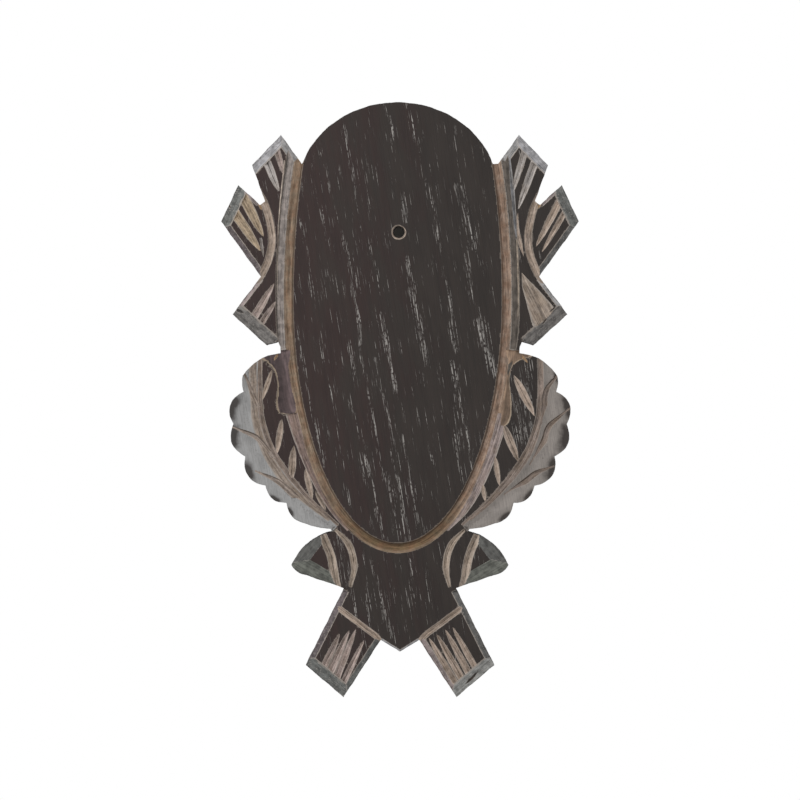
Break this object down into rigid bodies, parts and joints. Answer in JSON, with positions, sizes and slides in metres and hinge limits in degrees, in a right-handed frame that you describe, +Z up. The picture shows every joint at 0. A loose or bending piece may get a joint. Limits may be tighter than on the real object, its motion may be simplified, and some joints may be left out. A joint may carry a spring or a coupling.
{
  "type": "antler mounting plaque",
  "caption": "Carved wooden trophy board with a flat oval field for antlers, framed by branch stubs, oak leaves and acorns; hangs flat on a wall.",
  "frame": {"origin": "middle of the board's flat back, on the wall plane", "axes": "+Z up the wall, +Y into the wall (out of the back), -Y out of the carved face, +X to the right seen from the front"},
  "size_m": [0.1506, 0.018, 0.2502],
  "materials": {
    "stained_oak": "near-black brown stain with pale limed pores on the face, grey and ochre in the cuts, dull satin"
  },
  "bodies": {
    "root": {"carved_plaque": "stained_oak"}
  },
  "joints": []
}
